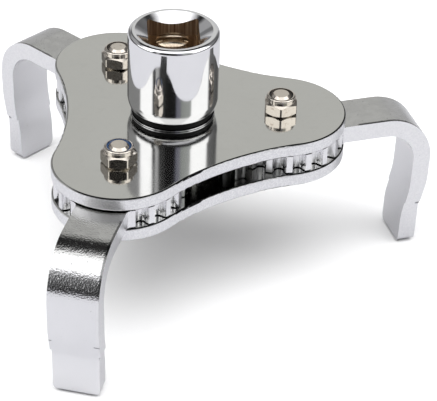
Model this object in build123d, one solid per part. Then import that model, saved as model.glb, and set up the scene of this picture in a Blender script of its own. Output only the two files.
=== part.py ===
from build123d import *
import math
import os

# Three-jaw self-adjusting oil filter wrench.
# Frame: origin on the drive axis in the plane of the jaw tips, +Z up to the drive socket,
# +X towards the pivot of the right-hand leg. Millimetres.

# ---- driving dimensions -------------------------------------------------
drive_sq = 12.75          # 1/2 inch square drive hole, across flats
sq_corner_r = 1.0         # corner radius of the broached square
sq_depth = 17.0           # depth of the square hole below the socket's top
sq_yaw = -90.0 - 3.4 + 5.0  # how the square stands at rest about the drive axis
barrel_od = 22.7          # drive socket barrel
barrel_h = 20.85
shoulder_r = 1.2         # rounding of the barrel's top edge
mouth_r = 9.6             # conical lead-in at the mouth: radius at the rim,
mouth_depth = 2.12         # depth where it reaches mouth_in
mouth_in = 6.2
detent_ring_r = 5.13      # ring groove for the ball of the driving tool
detent_sec_r = 2.43
detent_depth = 6.5
rim_gap = 2.2             # barrel's lower rim above the top plate
plate_t = 3.4             # both plates
gear_gap = 5.2            # space between the plates
z_plate_top = 42.5        # top face of the top plate above the jaw tips
pin_r = 27.0              # pivot circle radius
lobe_r = 16.4             # rounded ends of the three lobes
waist_r = 65.0            # hollow sides between the lobes
edge_r = 0.5              # rounding of the plates' edges
stock_t = 4.6             # thickness of gears and legs
n_planet, n_sun = 20, 15  # full-circle tooth counts
tip_planet, root_planet = 16.0, 13.6
tip_sun, root_sun = 13.1, 10.7
pressure = 20.0
backlash = 0.2            # thinning of each tooth at the pitch circle
shift = -0.25             # profile shift of the planets, taken back on the sun
alpha = 14.0              # leg direction at rest, counter-clockwise from radial
leg_w = 12.4              # strip width
jaw_w = 11.6              # strip width of the gripping end
reach = 39.3              # pivot axis to the outer face of the leg
bend_r = 12.5             # outside radius of the bend
lean = 1.6                # the leg leans in towards its tip, degrees
joggle = 1.5              # inward step of the gripping end
joggle_out = (18.5, 11.6) # heights where the step starts and ends, outer face
joggle_in = (17.2, 8.8)   # and inner face
jaw_top = 12.6            # the strip is narrower below this height
bush_od, bush_id = 8.0, 5.2
bolt_d = 5.0
nut_af = 7.9
nut_hex_h, nut_h = 3.0, 4.6
nut_corner_r = 0.6        # the hexagon's upright edges are rounded
insert_d = 6.1
washer_t = 0.8
hub_d = 15.0              # journal in the top plate
hub_hex = 12.0            # hexagon that carries the sun gear
foot_d = 10.0             # journal in the bottom plate
run = 0.06                # radial running clearance
ring_od = 20.4

module = 2.0 * pin_r / (n_planet + n_sun)
rp_planet = module * n_planet / 2
rp_sun = module * n_sun / 2
z_top_lo = z_plate_top - plate_t
z_bot_hi = z_top_lo - gear_gap
z_bot_lo = z_bot_hi - plate_t
z_gear = z_bot_hi + (gear_gap - stock_t) / 2
z_rim = z_plate_top + rim_gap
z_socket = z_rim + barrel_h
z_bolt_end = z_plate_top + 4.9
names = ["right", "rear", "front"]
angles = [0.0, 120.0, 240.0]

os.makedirs("parts", exist_ok=True)


def polar(r, deg):
    a = math.radians(deg)
    return (r * math.cos(a), r * math.sin(a))


def out(name, shape):
    solids = shape.solids()
    item = solids[0] if len(solids) == 1 else Compound(children=list(solids))
    item.label = name
    export_step(item, "parts/" + name + ".step")


def inv(a):
    return math.tan(a) - a


def half_angle(r, rp, thick):
    # half the angular thickness of a tooth at radius r, in degrees
    p = math.radians(pressure)
    rb = rp * math.cos(p)
    a = math.acos(min(1.0, rb / max(r, rb)))
    return math.degrees(thick / (2 * rp) + inv(p) - inv(a))


def arc(a, b, c):
    return ThreePointArc(a, b, c)


def tooth_edges(c, r_foot, r_tip, rp, thick):
    # leading flank, tip and trailing flank of the tooth centred at angle c
    rm = (r_foot + r_tip) / 2
    hf, hm, ht = (half_angle(r, rp, thick) for r in (r_foot, rm, r_tip))
    lead = arc(polar(r_foot, c - hf), polar(rm, c - hm), polar(r_tip, c - ht))
    tip = arc(polar(r_tip, c - ht), polar(r_tip, c), polar(r_tip, c + ht))
    trail = arc(polar(r_tip, c + ht), polar(rm, c + hm), polar(r_foot, c + hf))
    return lead, tip, trail, hf, ht


# ---- tooth thicknesses --------------------------------------------------
tan_p = math.tan(math.radians(pressure))
thick_planet = module * (math.pi / 2 + 2 * shift * tan_p) - backlash
thick_sun = module * (math.pi / 2 - 2 * shift * tan_p) - backlash


def sun_face():
    pitch = 360.0 / n_sun
    r_foot = rp_sun * math.cos(math.radians(pressure)) + 0.35
    # at rest each planet shows a tooth 5 degrees past the line of centres
    first = (alpha + 9.0) % 18.0
    phase = pitch / 2 - first * n_planet / n_sun
    edges = []
    for j in range(n_sun):
        c = phase + pitch * j
        lead, tip, trail, hf, ht = tooth_edges(c, r_foot, tip_sun, rp_sun, thick_sun)
        root = arc(polar(r_foot, c + hf), polar(root_sun, c + pitch / 2), polar(r_foot, c + pitch - hf))
        edges += [lead, tip, trail, root]
    return make_face(Wire(edges))


def planet_face():
    # toothed all round but for the shoulders beside the arm, at angle 0
    pitch = 360.0 / n_planet
    r_foot = rp_planet * math.cos(math.radians(pressure)) - 0.1
    edges = []
    centres = [pitch * 1.5 + pitch * j for j in range(n_planet - 2)]
    for i, c in enumerate(centres):
        lead, tip, trail, hf, ht = tooth_edges(c, r_foot, tip_planet, rp_planet, thick_planet)
        if i > 0:
            edges += [lead]
        if 0 < i < len(centres) - 1:
            edges += [tip]
        if i < len(centres) - 1:
            edges += [trail]
            edges += [arc(polar(r_foot, c + hf), polar(root_planet, c + pitch / 2), polar(r_foot, c + pitch - hf))]
    a = pitch * 1.5 + ht
    edges += [arc(polar(tip_planet, -a), polar(tip_planet, 0), polar(tip_planet, a))]
    return make_face(Wire(edges))


# ---- leg: planet gear, arm and bent jaw in one piece ----------------------
def leg_profile():
    zt = z_gear + stock_t
    tan_l = math.tan(math.radians(lean))

    def path(off, step, r_step):
        top = zt - off
        u0 = reach - off
        # the corner where the arm's line meets the leg's leaning line
        ref = zt - bend_r
        u_at = lambda z: u0 - (ref - z) * tan_l
        z1, z2 = step
        pts = [(6.0, top), (u_at(top), top), (u_at(z1), z1), (u_at(z2) - joggle, z2), (u_at(0) - joggle, 0)]
        return pts, [bend_r - off, *r_step]

    outer, ro = path(0, joggle_out, (20.0, 2.5))
    inner, ri = path(stock_t, joggle_in, (24.0, 24.0))
    # down the outside, round the tip and back up the inside
    run_pts = outer + inner[::-1]
    radii = ro + [1.4, 0.6] + ri[::-1]
    w = Wire([*FilletPolyline(*run_pts, radius=radii).edges(), Line(inner[0], outer[0])])
    return make_face(w)


def leg_local():
    side = leg_profile()
    strip = extrude(Plane.XZ * side, amount=leg_w / 2, both=True)
    # front view: the gripping end is a little narrower and has rounded corners
    lower = RectangleRounded(jaw_w, 2 * (jaw_top + 1.0), 2.2)
    upper = Pos(0, 40) * Rectangle(leg_w, 80 - 2 * jaw_top)
    front = Pos(0, jaw_top + 1.0) * lower + upper
    mask = extrude(Plane.YZ * front, amount=80)
    strip = strip & mask
    gear = Pos(0, 0, z_gear) * extrude(planet_face(), amount=stock_t)
    body = gear + strip
    # blend each shoulder into the arm
    corner = math.sqrt(tip_planet**2 - (leg_w / 2) ** 2)
    es = [e for e in body.edges().filter_by(Axis.Z)
          if abs(e.center().X - corner) < 0.2 and abs(abs(e.center().Y) - leg_w / 2) < 0.05]
    body = fillet(es, 1.6)
    bore = Pos(0, 0, z_gear - 1) * extrude(Circle(bush_od / 2 + run), amount=stock_t + 2)
    return body - bore


# ---- plates --------------------------------------------------------------
def plate_face():
    rc = waist_r
    d = (pin_r + math.sqrt(pin_r**2 + 4 * ((lobe_r + rc) ** 2 - pin_r**2))) / 2
    edges = []
    for a in angles:
        c = polar(pin_r, a)
        h1, h0 = polar(d, a + 60), polar(d, a - 60)
        g1 = math.atan2(h1[1] - c[1], h1[0] - c[0])
        g0 = math.atan2(h0[1] - c[1], h0[0] - c[0])
        p0 = (c[0] + lobe_r * math.cos(g0), c[1] + lobe_r * math.sin(g0))
        p1 = (c[0] + lobe_r * math.cos(g1), c[1] + lobe_r * math.sin(g1))
        edges.append(arc(p0, polar(pin_r + lobe_r, a), p1))
        mid = polar(d - rc, a + 60)
        c2 = polar(pin_r, a + 120)
        g = math.atan2(h1[1] - c2[1], h1[0] - c2[0])
        p2 = (c2[0] + lobe_r * math.cos(g), c2[1] + lobe_r * math.sin(g))
        edges.append(arc(p1, mid, p2))
    return make_face(Wire(edges))


def plate(z, centre_r):
    p = Pos(0, 0, z) * extrude(plate_face(), amount=plate_t)
    p = fillet(p.edges().filter_by(lambda e: e.length > 2 and abs(e.center().Z - e.start_point().Z) < 1e-6), edge_r)
    p -= Pos(0, 0, z - 1) * extrude(Circle(centre_r), amount=plate_t + 2)
    for a in angles:
        p -= Pos(*polar(pin_r, a), z - 1) * extrude(Circle(bolt_d / 2 + 0.1), amount=plate_t + 2)
    return p


out("top_plate", plate(z_top_lo, hub_d / 2 + run))
out("bottom_plate", plate(z_bot_lo, foot_d / 2 + run))


# ---- drive socket ---------------------------------------------------------
def cyl(r, z0, z1):
    return Pos(0, 0, z0) * extrude(Circle(r), amount=z1 - z0)


z_hub_end = z_bot_lo - 2.9
z_hex_lo = z_bot_hi + 0.1
rb = barrel_od / 2
k = math.sqrt(0.5)
barrel_side = Wire([
    Line((0, z_rim), (rb - 0.9, z_rim)),
    ThreePointArc((rb - 0.9, z_rim), (rb - 0.9 + 0.4 * k, z_rim + 0.4 * (1 - k)), (rb - 0.5, z_rim + 0.4)),
    ThreePointArc((rb - 0.5, z_rim + 0.4), (rb - 0.2, z_rim + 1.3), (rb, z_rim + 2.6)),
    Line((rb, z_rim + 2.6), (rb, z_socket - shoulder_r)),
    ThreePointArc((rb, z_socket - shoulder_r), (rb - shoulder_r * (1 - k), z_socket - shoulder_r * (1 - k)), (rb - shoulder_r, z_socket)),
    Line((rb - shoulder_r, z_socket), (0, z_socket)),
    Line((0, z_socket), (0, z_rim)),
])
barrel = revolve(Plane.XZ * make_face(barrel_side), Axis.Z)
hub = cyl(hub_d / 2, z_gear + stock_t, z_rim + 1.0)
hexa = Pos(0, 0, z_hex_lo) * extrude(Rot(0, 0, 30) * RegularPolygon(hub_hex / math.sqrt(3), 6), amount=z_gear + stock_t - z_hex_lo)
foot = cyl(foot_d / 2, z_hub_end, z_hex_lo)
foot = chamfer(foot.edges().group_by(Axis.Z)[0], 0.5)
groove_z = z_bot_lo - 0.1 - washer_t - 1.0
foot -= cyl(foot_d, groove_z, groove_z + 1.0) - cyl(4.8, groove_z - 1, groove_z + 2)
socket = barrel + hub + hexa + foot
square = RectangleRounded(drive_sq, drive_sq, sq_corner_r)
hole = Rot(0, 0, sq_yaw) * (Pos(0, 0, z_socket - sq_depth) * extrude(square, amount=sq_depth + 1))
z_in = z_socket - mouth_depth
lead_in = Wire([
    Line((mouth_r, z_socket), (mouth_in, z_in)),
    Line((mouth_in, z_in), (0, z_in)),
    Line((0, z_in), (0, z_socket + 1)),
    Line((0, z_socket + 1), (mouth_r, z_socket + 1)),
    Line((mouth_r, z_socket + 1), (mouth_r, z_socket)),
])
mouth = revolve(Plane.XZ * make_face(lead_in), Axis.Z)
ball = Pos(0, 0, z_socket - detent_depth) * Torus(detent_ring_r, detent_sec_r)
drill = Pos(0, 0, z_socket - sq_depth - 2.4) * Cone(0.4, 5.9, 2.4, align=(Align.CENTER, Align.CENTER, Align.MIN))
socket = socket - hole - mouth - ball - drill
out("drive_socket", socket)

# sun gear on the hub's hexagon
sun = Pos(0, 0, z_gear) * extrude(sun_face(), amount=stock_t)
sun -= Pos(0, 0, z_gear - 1) * extrude(Rot(0, 0, 30) * RegularPolygon(hub_hex / math.sqrt(3), 6), amount=stock_t + 2)
out("sun_gear", sun)

# steel washer on the plate and black ring above it, under the barrel's rim
washer_z = z_plate_top + 0.1
steel = cyl(ring_od / 2 + 0.3, washer_z, washer_z + 0.3) - cyl(hub_d / 2, washer_z - 1, washer_z + 2)
out("upper_washer", steel)
black = cyl(ring_od / 2, washer_z + 0.3, z_rim)
black = fillet(black.edges().filter_by(GeomType.CIRCLE), 0.25) - cyl(hub_d / 2, washer_z, z_rim + 1)
out("thrust_ring", black)

# washer and retaining ring under the bottom plate
w0 = z_bot_lo - 0.1 - washer_t
out("hub_washer", cyl(8.5, w0, w0 + washer_t) - cyl(foot_d / 2, w0 - 1, w0 + 2))
ring = cyl(6.6, groove_z, groove_z + 1.0) - cyl(4.8, groove_z - 1, groove_z + 2)
gap_cut = Pos(-6.5, 0, groove_z + 0.5) * Box(6, 3.0, 2)
lugs = [Pos(*polar(6.9, 180 + s * 19), groove_z) * extrude(Circle(1.5), amount=1.0) for s in (-1, 1)]
ring = ring - gap_cut
for s, lug in zip((-1, 1), lugs):
    ring = ring + lug
    ring -= Pos(*polar(6.9, 180 + s * 19), groove_z - 1) * extrude(Circle(0.6), amount=3)
ring -= cyl(4.8, groove_z - 1, groove_z + 2)
out("retaining_ring", ring)

# ---- legs ------------------------------------------------------------------
leg = leg_local()
for n, a in zip(names, angles):
    out("leg_" + n, Pos(*polar(pin_r, a), 0) * (Rot(0, 0, a + alpha) * leg))

# ---- fasteners --------------------------------------------------------------
# turn of each nut about its bolt, so the flats stand as they were tightened
nut_turn = {"right": 26.6, "rear": -16.0, "front": -3.4}


def hexagon(af):
    h = RegularPolygon(af / math.sqrt(3), 6)
    return fillet(h.vertices(), nut_corner_r)


def hex_chamfered(af, h, up, down, r_up):
    # hexagon with its corners turned off by a cone at the ends
    body = extrude(hexagon(af), amount=h)
    k = math.tan(math.radians(30))
    big = af / math.sqrt(3) + 0.5
    if up:
        keep = cyl(big, -1, h - (big - r_up) * k)
        keep += Pos(0, 0, h - (big - r_up) * k) * Cone(big, r_up, (big - r_up) * k, align=(Align.CENTER, Align.CENTER, Align.MIN))
        body = body & keep
    if down:
        keep = cyl(big, (big - r_up) * k, h + 1)
        keep += Pos(0, 0, 0) * Cone(r_up, big, (big - r_up) * k, align=(Align.CENTER, Align.CENTER, Align.MIN))
        body = body & keep
    return body


def nut_local():
    body = hex_chamfered(nut_af, nut_hex_h + 0.3, True, True, 3.45)
    # round collar, rolled in over the insert
    prof = make_face(Wire([
        *Polyline((0, 2.0), (3.62, 2.0), (3.62, nut_h - 0.65)).edges(),
        ThreePointArc((3.62, nut_h - 0.65), (3.5, nut_h - 0.17), (3.15, nut_h)),
        *Polyline((3.15, nut_h), (0, nut_h), (0, 2.0)).edges(),
    ]))
    body += revolve(Plane.XZ * prof, Axis.Z)
    body -= cyl(bolt_d / 2, -1, nut_h + 1)
    body -= cyl(insert_d / 2, nut_hex_h - 0.6, nut_h + 1)
    return body


def insert_local():
    r = cyl(insert_d / 2, nut_hex_h - 0.6, nut_h - 0.35)
    return r - cyl(bolt_d / 2, -1, nut_h + 1)


head_z = z_bot_lo - washer_t
for n, a in zip(names, angles):
    at = Pos(*polar(pin_r, a), 0)
    shank = cyl(bolt_d / 2, head_z, z_bolt_end)
    shank = chamfer(shank.edges().group_by(Axis.Z)[-1], 0.6)
    head = Pos(0, 0, head_z - 3.5) * hex_chamfered(8.0, 3.5, False, True, 3.8)
    out("pivot_bolt_" + n, at * (shank + Rot(0, 0, a + 15) * head))
    out("bolt_washer_" + n, at * (cyl(5.0, head_z, head_z + washer_t) - cyl(2.65, head_z - 1, head_z + 2)))
    out("pivot_bushing_" + n, at * (cyl(bush_od / 2, z_bot_hi, z_top_lo) - cyl(bush_id / 2, z_bot_hi - 1, z_top_lo + 1)))
    seat = Pos(0, 0, z_plate_top) * Rot(0, 0, nut_turn[n])
    out("lock_nut_" + n, at * (seat * nut_local()))
    out("nylon_insert_" + n, at * (seat * insert_local()))
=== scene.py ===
import math

import bpy
from mathutils import Matrix, Vector


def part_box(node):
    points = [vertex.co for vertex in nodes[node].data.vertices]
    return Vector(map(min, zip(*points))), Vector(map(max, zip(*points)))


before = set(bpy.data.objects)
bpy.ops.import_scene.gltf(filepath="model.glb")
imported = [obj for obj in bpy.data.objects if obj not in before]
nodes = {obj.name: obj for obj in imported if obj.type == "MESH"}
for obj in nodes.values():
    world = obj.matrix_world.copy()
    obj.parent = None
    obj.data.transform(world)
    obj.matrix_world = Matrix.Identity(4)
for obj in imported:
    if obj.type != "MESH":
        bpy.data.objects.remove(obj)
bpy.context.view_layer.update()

sc = bpy.context.scene
NAMES = ("right", "rear", "front")
YAW = math.radians(3.442)          # the studio is turned this much about the tool's axis
PLATE_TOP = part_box("top_plate")[1].z
MM = 0.001


# ---------------------------------------------------------------- node helpers
class Graph:
    """Small helper that builds a shader graph."""

    def __init__(self, tree):
        self.t = tree
        tree.nodes.clear()

    def n(self, kind, **props):
        node = self.t.nodes.new(kind)
        for k, v in props.items():
            setattr(node, k, v)
        return node

    def put(self, socket, value):
        if isinstance(value, bpy.types.NodeSocket):
            self.t.links.new(value, socket)
        elif value is not None:
            socket.default_value = value

    def m(self, op, a, b=None, c=None, clamp=False):
        node = self.n("ShaderNodeMath", operation=op, use_clamp=clamp)
        self.put(node.inputs[0], a)
        if b is not None:
            self.put(node.inputs[1], b)
        if c is not None:
            self.put(node.inputs[2], c)
        return node.outputs[0]

    def xyz(self, vec):
        node = self.n("ShaderNodeSeparateXYZ")
        self.put(node.inputs[0], vec)
        return node.outputs

    def step(self, value, a, b, lo=0.0, hi=1.0):
        node = self.n("ShaderNodeMapRange", interpolation_type="SMOOTHSTEP", clamp=True)
        for i, v in enumerate((value, a, b, lo, hi)):
            self.put(node.inputs[i], v)
        return node.outputs[0]

    def mix(self, fac, a, b):
        node = self.n("ShaderNodeMix", data_type="RGBA", clamp_factor=True)
        self.put(node.inputs[0], fac)
        self.put(node.inputs[6], a)
        self.put(node.inputs[7], b)
        return node.outputs[2]

    def mixf(self, fac, a, b):
        node = self.n("ShaderNodeMix", data_type="FLOAT", clamp_factor=True)
        self.put(node.inputs[0], fac)
        self.put(node.inputs[2], a)
        self.put(node.inputs[3], b)
        return node.outputs[0]

    def noise(self, vec, scale, detail=3.0, rough=0.5, dist=0.0, w=None):
        node = self.n("ShaderNodeTexNoise", noise_dimensions="3D")
        self.put(node.inputs["Vector"], vec)
        self.put(node.inputs["Scale"], scale)
        self.put(node.inputs["Detail"], detail)
        self.put(node.inputs["Roughness"], rough)
        self.put(node.inputs["Distortion"], dist)
        return node.outputs["Fac"]

    def voronoi(self, vec, scale, feature="F1", rand=1.0):
        node = self.n("ShaderNodeTexVoronoi", feature=feature)
        self.put(node.inputs["Vector"], vec)
        self.put(node.inputs["Scale"], scale)
        self.put(node.inputs["Randomness"], rand)
        return node.outputs["Distance"]

    def scale(self, vec, s, rot=(0, 0, 0), loc=(0, 0, 0)):
        node = self.n("ShaderNodeMapping", vector_type="POINT")
        self.put(node.inputs[0], vec)
        node.inputs[1].default_value = loc
        node.inputs[2].default_value = rot
        node.inputs[3].default_value = s
        return node.outputs[0]

    def ramp(self, fac, stops, interp="LINEAR"):
        node = self.n("ShaderNodeValToRGB")
        self.put(node.inputs[0], fac)
        cr = node.color_ramp
        cr.interpolation = interp
        stops = sorted(stops, key=lambda s: s[0])
        while len(cr.elements) < len(stops):
            cr.elements.new(0.5)
        for e, (p, _) in zip(cr.elements, stops):
            e.position = p
        for e, (_, c) in zip(cr.elements, stops):
            e.color = (c, c, c, 1) if isinstance(c, (int, float)) else (*c, 1)
        return node.outputs[0]

    def bump(self, height, distance, strength=1.0, normal=None):
        node = self.n("ShaderNodeBump")
        self.put(node.inputs["Height"], height)
        node.inputs["Distance"].default_value = distance
        node.inputs["Strength"].default_value = strength
        if normal is not None:
            self.put(node.inputs["Normal"], normal)
        return node.outputs["Normal"]

    def coords(self):
        node = self.n("ShaderNodeTexCoord")
        return node.outputs["Object"], node.outputs["Normal"]

    def surface(self, color, rough, metallic, normal=None, **extra):
        node = self.n("ShaderNodeBsdfPrincipled")
        self.put(node.inputs["Base Color"], color)
        self.put(node.inputs["Roughness"], rough)
        self.put(node.inputs["Metallic"], metallic)
        if normal is not None:
            self.put(node.inputs["Normal"], normal)
        for k, v in extra.items():
            self.put(node.inputs[k.replace("_", " ")], v)
        o = self.n("ShaderNodeOutputMaterial")
        self.t.links.new(node.outputs[0], o.inputs[0])
        return node


def material(name):
    m = bpy.data.materials.new(name)
    m.use_nodes = True
    return m, Graph(m.node_tree)


# ---------------------------------------------------------------- camera
EL, ROLL, F_PX, W_PX, H_PX = 34.02933902, 1.74377798, 2000.0, 437, 401
CX, CY = 214.162723, 196.933417
TX, TY, DIST = -10.342835, 21.669860, 499.648085


def make_camera():
    e, r = math.radians(EL), math.radians(ROLL)
    fwd = Vector((0, math.cos(e), -math.sin(e)))
    up0, right0 = Vector((0, math.sin(e), math.cos(e))), Vector((1, 0, 0))
    right = math.cos(r) * right0 + math.sin(r) * up0
    up = -math.sin(r) * right0 + math.cos(r) * up0
    pos = -(TX * right + TY * up + DIST * fwd)
    # aim at the middle of the frame, so that no lens shift is needed
    aim = (fwd + right * ((W_PX / 2 - CX) / F_PX) - up * ((H_PX / 2 - CY) / F_PX)).normalized()
    right = (right - aim * right.dot(aim)).normalized()
    up = right.cross(aim).normalized()
    turn = Matrix.Rotation(-YAW, 3, "Z")
    rot = turn @ Matrix((right, up, -aim)).transposed()
    data = bpy.data.cameras.new("camera")
    data.sensor_fit = "HORIZONTAL"
    data.sensor_width = 36.0
    data.lens = F_PX / W_PX * 36.0
    data.clip_start, data.clip_end = 0.01, 20.0
    cam = bpy.data.objects.new("camera", data)
    sc.collection.objects.link(cam)
    p = turn @ pos * MM + Vector((0, 0, PLATE_TOP))
    cam.matrix_world = Matrix.Translation(p) @ rot.to_4x4()
    sc.camera = cam


make_camera()

# ---------------------------------------------------------------- studio
sc.view_settings.view_transform = "Standard"
sc.view_settings.look = "None"
sc.view_settings.exposure = 0.0
sc.view_settings.gamma = 1.0
sc.cycles.use_denoising = True

KEY = 2.0      # radiance of a stop of 1.0 in the light's ramps


def make_world():
    w = bpy.data.worlds.new("studio")
    sc.world = w
    w.use_nodes = True
    g = Graph(w.node_tree)
    tc = g.n("ShaderNodeTexCoord")
    rot = g.n("ShaderNodeVectorRotate", rotation_type="Z_AXIS")
    g.put(rot.inputs["Vector"], tc.outputs["Generated"])
    rot.inputs["Angle"].default_value = YAW
    x, y, z = g.xyz(rot.outputs[0])
    az = g.m("ARCTAN2", x, g.m("MULTIPLY", y, -1.0))
    fac = g.m("MULTIPLY_ADD", az, 1 / (2 * math.pi), 0.5)
    el = g.m("MULTIPLY", g.m("ARCSINE", z), 180 / math.pi)

    def stops(rows):
        made = []
        for a, v in rows:
            c = v if isinstance(v, tuple) else (v, v, v)
            made.append((a / 360 + 0.5, tuple(k / KEY for k in c)))
        return made

    white = 1.75
    grey = (0.66, 0.66, 0.64)
    front = [(-49, 0.06), (-45, 0.06), (-41, 0.7), (-36, 0.6), (-31, 0.06), (-20, 0.05), (-14, 0.012), (7, 0.012),
             (12, (0.2, 0.2, 0.25)), (20, (0.27, 0.27, 0.31)), (25, (0.4, 0.42, 0.4)), (46, (0.52, 0.54, 0.52)), (51, white)]
    low = stops([(-180, 0.6), (-158, 0.6), (-151, 0.2), (-138, 0.15), (-128, 0.3), (-99, 0.4), (-93, white), (-53, white)]
                + front + [(97, white), (104, 0.3), (128, 0.15), (138, 0.10), (151, 0.2), (158, 0.6), (180, 0.6)])
    mid = stops([(-180, grey), (-172, grey), (-166, 0.12), (-152, 0.12), (-146, 0.35), (-92, 0.36), (-85, white), (-53, white)]
                + front + [(97, white), (104, 0.22), (145, 0.12), (156, 0.3), (163, grey), (180, grey)])
    high = stops([(-180, 0.02), (-116, 0.02), (-98, white), (-40, white), (-30, 1.35), (40, 1.35),
                  (52, white), (100, white), (118, 0.04), (180, 0.02)])
    rim = stops([(-180, 0.6), (-158, 0.6), (-150, 0.2), (-128, 0.2), (-118, 0.02), (118, 0.02), (128, 0.1), (150, 0.2),
                 (158, 0.6), (180, 0.6)])
    c_rim, c_low, c_mid, c_high = (g.ramp(fac, s) for s in (rim, low, mid, high))
    c = g.mix(g.step(el, 9.0, 15.0), c_rim, c_low)
    c = g.mix(g.step(el, 22.0, 27.0), c, c_mid)
    c = g.mix(g.step(el, 41.0, 49.0), c, c_high)
    c = g.mix(g.step(el, 74.0, 82.0), c, (1.5 / KEY, 1.5 / KEY, 1.5 / KEY, 1))
    bg = g.n("ShaderNodeBackground")
    g.put(bg.inputs[0], c)
    bg.inputs[1].default_value = KEY
    out = g.n("ShaderNodeOutputWorld")
    g.t.links.new(bg.outputs[0], out.inputs[0])


make_world()


def disc(name, radius, rings, z_of, seg=96):
    verts, faces = [(0, 0, z_of(0))], []
    for i in range(1, rings + 1):
        r = radius * i / rings
        for j in range(seg):
            a = 2 * math.pi * j / seg
            verts.append((r * math.cos(a), r * math.sin(a), z_of(r)))
    for j in range(seg):
        faces.append((0, 1 + j, 1 + (j + 1) % seg))
    for i in range(rings - 1):
        for j in range(seg):
            a, b = 1 + i * seg + j, 1 + i * seg + (j + 1) % seg
            faces.append((a, a + seg, b + seg, b))
    me = bpy.data.meshes.new(name)
    me.from_pydata(verts, [], faces)
    o = bpy.data.objects.new(name, me)
    sc.collection.objects.link(o)
    for p in me.polygons:
        p.use_smooth = True
    return o


def make_floor():
    # the floor that the camera sees
    o = disc("floor", 3.0, 8, lambda r: -0.0002)
    m, g = material("floor_paper")
    co, _ = g.coords()
    n = g.noise(co, 900.0, 3.0)
    col = g.mix(n, (0.95, 0.95, 0.955, 1), (0.965, 0.965, 0.97, 1))
    g.surface(col, 0.9, 0.0, g.bump(n, 0.00002, 0.4))
    o.data.materials.append(m)
    o.visible_glossy = False
    # a second floor that only the metal's reflections see: painted reflection, darker than the floor the camera sees,
    # with painted shade that makes it greyer behind the tool; the softbox casts the tool's shadow on it
    f = disc("floor_mirrored", 3.0, 8, lambda r: -0.00005)
    m2, g2 = material("floor_mirrored_painted_shade")
    co, _ = g2.coords()
    rot = g2.n("ShaderNodeVectorRotate", rotation_type="Z_AXIS")
    g2.put(rot.inputs["Vector"], co)
    rot.inputs["Angle"].default_value = YAW
    x, y, z = g2.xyz(rot.outputs[0])
    # painted shade: the floor seen in reflections turns greyer towards the back
    back = g2.step(g2.m("MULTIPLY_ADD", x, 0.2, y), 0.02, 0.2)
    col = g2.mix(back, (0.535, 0.535, 0.555, 1), (0.40, 0.40, 0.41, 1))
    g2.surface(col, 0.9, 0.0)
    f.data.materials.append(m2)
    f.visible_camera = f.visible_diffuse = f.visible_shadow = False
    # pale backdrop that only the camera sees
    d = disc("backdrop", 3.4, 40, lambda r: math.sqrt(max(0.0, 3.4 ** 2 - r * r)) - 0.02)
    mb, gb = material("backdrop_pale")
    em = gb.n("ShaderNodeEmission")
    em.inputs[0].default_value = (1, 1, 1, 1)
    em.inputs[1].default_value = 1.0
    ob = gb.n("ShaderNodeOutputMaterial")
    gb.t.links.new(em.outputs[0], ob.inputs[0])
    d.data.materials.append(mb)
    d.visible_diffuse = d.visible_glossy = d.visible_transmission = d.visible_shadow = d.visible_volume_scatter = False
    # soft overhead light that fills the floor
    la = bpy.data.lights.new("softbox", "AREA")
    la.shape = "DISK"
    la.size = 2.4
    la.energy = FILL
    lo = bpy.data.objects.new("softbox", la)
    sc.collection.objects.link(lo)
    lo.location = (-0.1, -0.2, 1.6)
    lo.visible_camera = lo.visible_glossy = False


FILL = 30.0
make_floor()


# ---------------------------------------------------------------- materials
def plate_material(name, top):
    """top: height of the plate's upper face; its rounded edge carries a painted dark line (painted shade)."""
    m, g = material(name)
    co, nrm = g.coords()
    nx, ny, nz = g.xyz(nrm)
    z = g.xyz(co)[2]
    anz = g.m("ABSOLUTE", nz)
    side = g.step(anz, 0.80, 0.45)
    flat = g.m("SQRT", g.m("MAXIMUM", g.m("SUBTRACT", 1.0, g.m("MULTIPLY", nz, nz)), 0.0001))
    ahead = g.m("DIVIDE", g.m("MULTIPLY_ADD", nx, 0.60, g.m("MULTIPLY", ny, -0.80)), flat)
    fine = g.noise(g.scale(co, (260, 2600, 2600), rot=(0, 0, math.radians(12))), 1.0, 3.0)
    cloud = g.noise(co, 45.0, 3.0)
    mottle = g.noise(co, 420.0, 3.0, 0.6)
    speck = g.step(g.voronoi(co, 700.0), 0.10, 0.02)
    col = g.mix(cloud, (0.60, 0.60, 0.58, 1), (0.66, 0.66, 0.64, 1))
    col = g.mix(g.m("MULTIPLY", g.step(mottle, 0.52, 0.72), 0.10), col, (0.50, 0.50, 0.48, 1))
    col = g.mix(g.m("MULTIPLY", speck, 0.12), col, (0.42, 0.42, 0.41, 1))
    # painted highlight: the side faces get a near-white colour, far lighter than the grey upper face
    grit = g.noise(co, 2300.0, 3.0, 0.65)
    white = g.mix(g.step(grit, 0.42, 0.62), (0.82, 0.82, 0.84, 1), (0.95, 0.95, 0.96, 1))
    col = g.mix(side, col, white)
    # painted shade: a dark line where the upper face rolls over into the edge, strongest along the plate's upper face
    # and where the edge faces front and right
    painted_dark_line = g.m("MULTIPLY", g.step(anz, 0.995, 0.96), g.step(anz, 0.42, 0.62))
    line_patchiness = g.step(g.noise(co, 260.0, 2.0), 0.25, 0.45)
    upper = g.step(z, top - 0.0012, top - 0.0008)
    dark = g.mixf(upper, 0.38, g.m("MULTIPLY_ADD", line_patchiness, 0.10, 0.90))
    dark = g.m("MULTIPLY", dark, g.step(ahead, -0.05, 0.35, 0.10, 1.0))
    col = g.mix(g.m("MULTIPLY", painted_dark_line, dark), col, (0.012, 0.012, 0.013, 1))
    r = g.m("MULTIPLY_ADD", fine, 0.05, 0.05)
    r = g.m("MULTIPLY_ADD", cloud, 0.03, r)
    r = g.mixf(g.m("MAXIMUM", side, painted_dark_line), r, 0.40)
    h = g.mixf(side, fine, g.m("MULTIPLY", grit, 16.0))
    d = g.bump(h, 0.000004, 0.45)
    g.surface(col, r, 1.0, d)
    return m


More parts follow.
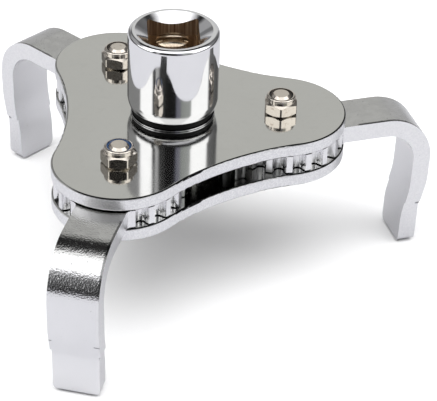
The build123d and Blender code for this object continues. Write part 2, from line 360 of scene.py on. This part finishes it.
def socket_material(name):
    m, g = material(name)
    co, nrm = g.coords()
    x, y, z = g.xyz(co)
    nz = g.xyz(nrm)[2]
    rad = g.m("SQRT", g.m("ADD", g.m("MULTIPLY", x, x), g.m("MULTIPLY", y, y)))
    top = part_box("drive_socket")[1].z
    depth = g.m("SUBTRACT", top, z)
    inside = g.m("MULTIPLY", g.step(rad, 0.0092, 0.0088), g.m("SUBTRACT", 1.0, g.step(g.m("ABSOLUTE", nz), 0.3, 0.6)))
    inside = g.m("MULTIPLY", inside, g.step(depth, 0.0002, 0.0005))
    inside = g.m("MAXIMUM", inside, g.m("MULTIPLY", g.step(depth, 0.0024, 0.0028), g.step(rad, 0.0092, 0.0088)))
    # the hole ends at its floor; the neck and the hub below it stay chromed
    inside = g.m("MULTIPLY", inside, g.step(depth, 0.0176, 0.0172))
    # streaks run down the broached walls
    streak = g.noise(g.scale(co, (2600, 2600, 60)), 1.0, 4.0, 0.6)
    patch = g.noise(co, 240.0, 3.0)
    brown = g.ramp(streak, [(0.28, (0.26, 0.17, 0.11)), (0.5, (0.54, 0.42, 0.31)), (0.72, (0.86, 0.76, 0.64))])
    # painted highlight: the ball groove is painted a lighter brown, and made smoother, than the broached walls
    ball = g.m("MULTIPLY", g.step(depth, 0.0092, 0.0075), g.step(depth, 0.0048, 0.0058))
    deep = g.m("MULTIPLY", g.step(rad, 0.0063, 0.0068), ball)
    brown = g.mix(deep, brown, (0.80, 0.70, 0.56, 1))
    chrome = g.mix(patch, (0.82, 0.82, 0.84, 1), (0.88, 0.88, 0.90, 1))
    col = g.mix(inside, chrome, brown)
    wave = g.noise(co, 130.0, 2.0)
    r = g.m("MULTIPLY_ADD", patch, 0.04, 0.05)
    r = g.mixf(inside, r, g.mixf(deep, 0.32, 0.16))
    speck = g.noise(co, 2600.0, 2.0)
    ripple = g.noise(g.scale(co, (420, 420, 60)), 1.0, 3.0)
    h = g.m("ADD", g.m("MULTIPLY", wave, 3.0), g.m("MULTIPLY", ripple, 1.6))
    h = g.mixf(inside, g.m("ADD", h, g.m("MULTIPLY", speck, 0.04)), g.m("MULTIPLY", streak, 2.5))
    d = g.bump(h, 0.00001, 0.5)
    g.surface(col, r, 1.0, d)
    return m


def leg_material(name, at):
    """at: (pin x, pin y, direction angle, side of the arm nearer the camera, which carries the painted dark edge line)
    of the leg.
    """
    m, g = material(name)
    co, nrm = g.coords()
    px, py, ang, near_side = at
    nx, ny, nz = g.xyz(nrm)
    ux, uy = math.cos(ang), math.sin(ang)
    # the strip's cut edges face across the leg's direction
    cross = g.m("ABSOLUTE", g.m("ADD", g.m("MULTIPLY", nx, -uy), g.m("MULTIPLY", ny, ux)))
    edge = g.step(cross, 0.55, 0.9)
    x, y, z = g.xyz(co)
    dx, dy = g.m("SUBTRACT", x, px), g.m("SUBTRACT", y, py)
    across = g.m("ADD", g.m("MULTIPLY", dx, -uy), g.m("MULTIPLY", dy, ux))
    along = g.m("ADD", g.m("MULTIPLY", dx, ux), g.m("MULTIPLY", dy, uy))
    up = g.step(nz, 0.62, 0.97)
    grain = g.noise(co, 1900.0, 2.0, 0.6)
    grain2 = g.voronoi(co, 2400.0)
    cloud = g.noise(co, 90.0, 3.0)
    dull = g.noise(co, 300.0, 4.0, 0.6)
    pits = g.step(g.voronoi(co, 620.0), 0.12, 0.04)
    # painted light by facing: the faces that stand up are light, the upward faces a darker grey and the cut edges near
    # white
    face = g.mix(cloud, (0.82, 0.82, 0.84, 1), (0.90, 0.90, 0.92, 1))
    # painted highlight: the faces turn lighter towards the foot, below about 16 mm
    face = g.mix(g.step(z, 0.016, 0.002), face, (0.97, 0.97, 0.98, 1))
    # painted shade: the darker grey of the upward faces
    top = g.mix(g.step(dull, 0.3, 0.7), (0.60, 0.60, 0.595, 1), (0.545, 0.545, 0.54, 1))
    col = g.mix(up, face, top)
    white = g.mix(g.step(grain, 0.36, 0.66), (0.89, 0.89, 0.905, 1), (0.94, 0.94, 0.95, 1))
    col = g.mix(edge, col, white)
    col = g.mix(g.m("MULTIPLY", pits, 0.35), col, (0.40, 0.40, 0.42, 1))
    # painted shade: a dark line along the arm's upper edge, on the side nearer the camera
    ragged = g.m("MULTIPLY_ADD", g.noise(co, 1500.0, 2.0), 0.0004, -0.0002)
    v = g.m("ADD", g.m("MULTIPLY", across, near_side), ragged)
    painted_dark_line = g.m("MULTIPLY", g.step(v, 0.0052 if near_side < 0 else 0.0055, 0.00575), g.step(nz, 0.25, 0.6))
    painted_dark_line = g.m("MULTIPLY", painted_dark_line, g.m("MULTIPLY", g.step(along, 0.0185, 0.0195), g.step(cross, 0.5, 0.3)))
    col = g.mix(g.m("MULTIPLY", painted_dark_line, 0.92 if near_side < 0 else 0.7), col, (0.02, 0.02, 0.022, 1))
    # witness marks of the press tool where the jaw steps in
    ends = g.m("MAXIMUM", g.step(across, 0.0046, 0.0049), g.step(across, -0.0053, -0.0056))
    mark = g.m("MULTIPLY", g.step(g.m("ABSOLUTE", g.m("SUBTRACT", z, 0.0160)), 0.00022, 0.00010), ends)
    mark = g.m("MULTIPLY", mark, g.step(along, 0.0355, 0.0365))
    nick = g.m("MULTIPLY", g.step(g.m("ABSOLUTE", g.m("SUBTRACT", z, 0.0122)), 0.0005, 0.0002), g.step(along, 0.0362, 0.0368))
    nick = g.m("MULTIPLY", nick, g.m("MULTIPLY", edge, g.step(g.m("MULTIPLY", across, near_side), 0.0, 0.002)))
    mark = g.m("MAXIMUM", g.m("MULTIPLY", mark, g.step(cross, 0.5, 0.3)), nick)
    col = g.mix(g.m("MULTIPLY", mark, 0.75), col, (0.10, 0.10, 0.11, 1))
    r = g.m("MULTIPLY_ADD", dull, 0.08, 0.12)
    r = g.mixf(edge, r, 0.34)
    h = g.m("ADD", g.m("MULTIPLY", grain, 1.0), g.m("MULTIPLY", grain2, 0.6))
    h = g.m("MULTIPLY_ADD", pits, -0.8, h)
    d = g.bump(h, 0.00005, 0.68)
    g.surface(col, r, 1.0, d)
    return m


def metal(name, c1, c2, r0, r1, scale=300.0, bump=0.00001, strength=0.4, grime=None, stretch=(1, 1, 1)):
    m, g = material(name)
    co, nrm = g.coords()
    v = g.scale(co, stretch)
    n = g.noise(v, scale, 4.0, 0.6)
    n2 = g.noise(co, scale * 0.25, 2.0)
    col = g.mix(n2, (*c1, 1), (*c2, 1))
    if grime:
        col = g.mix(g.step(n, 0.56, 0.72), col, (*grime, 1))
    g.surface(col, g.mixf(n, r0, r1), 1.0, g.bump(n, bump, strength))
    return m


def plastic(name, c1, c2, r0, r1, scale=600.0, bump=0.00002, **extra):
    m, g = material(name)
    co, nrm = g.coords()
    n = g.noise(co, scale, 4.0, 0.6)
    g.surface(g.mix(n, (*c1, 1), (*c2, 1)), g.mixf(n, r0, r1), 0.0, g.bump(n, bump, 0.5), **extra)
    return m


def give(node, mat):
    o = nodes[node]
    o.data.materials.clear()
    o.data.materials.append(mat)


for n in ("top_plate", "bottom_plate"):
    give(n, plate_material("plate_chrome_" + n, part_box(n)[1].z))
give("drive_socket", socket_material("socket_chrome"))
give("sun_gear", metal("gear_steel", (0.5, 0.5, 0.5), (0.6, 0.6, 0.6), 0.2, 0.34, 500))
zinc = metal("zinc_steel", (0.66, 0.60, 0.53), (0.75, 0.70, 0.64), 0.12, 0.2, 700, 0.000008, 0.5, grime=(0.50, 0.43, 0.36))


def washer_material(name):
    m, g = material(name)
    co, nrm = g.coords()
    x, y, z = g.xyz(co)
    rad = g.m("SQRT", g.m("ADD", g.m("MULTIPLY", x, x), g.m("MULTIPLY", y, y)))
    n = g.noise(co, 900.0, 4.0, 0.6)
    dark = g.mix(n, (0.06, 0.065, 0.07, 1), (0.11, 0.115, 0.12, 1))
    # painted highlight: a light band round the washer's outer edge
    rim = g.step(rad, 0.01030, 0.01042)
    col = g.mix(rim, dark, (0.62, 0.62, 0.64, 1))
    g.surface(col, g.mixf(n, 0.14, 0.24), 1.0, g.bump(n, 0.00001, 0.4))
    return m


give("upper_washer", washer_material("washer_steel"))
give("hub_washer", metal("hub_washer_zinc", (0.66, 0.64, 0.6), (0.74, 0.72, 0.68), 0.2, 0.3, 900))
give("retaining_ring", metal("spring_steel", (0.16, 0.16, 0.17), (0.24, 0.24, 0.26), 0.3, 0.42, 900))
give("thrust_ring", plastic("black_ring", (0.002, 0.002, 0.0025), (0.006, 0.006, 0.006), 0.35, 0.5, Specular_IOR_Level=0.12))
bush = metal("bushing_steel", (0.55, 0.55, 0.55), (0.62, 0.62, 0.62), 0.18, 0.3, 900)
for k, n in enumerate(NAMES):
    for part in ("pivot_bolt_", "lock_nut_", "bolt_washer_"):
        give(part + n, zinc)
    give("pivot_bushing_" + n, bush)
    a = math.radians(120 * k)
    give("leg_" + n, leg_material("leg_chrome_" + n, (0.027 * math.cos(a), 0.027 * math.sin(a), a + math.radians(14), -1.0 if n == "right" else 1.0)))
blue = plastic("blue_nylon", (0.001, 0.010, 0.05), (0.006, 0.05, 0.13), 0.2, 0.32, 900)
dark = plastic("clear_nylon", (0.002, 0.002, 0.002), (0.012, 0.010, 0.009), 0.25, 0.4, 500, Specular_IOR_Level=0.3)
give("nylon_insert_front", blue)
give("nylon_insert_right", dark)
give("nylon_insert_rear", dark)
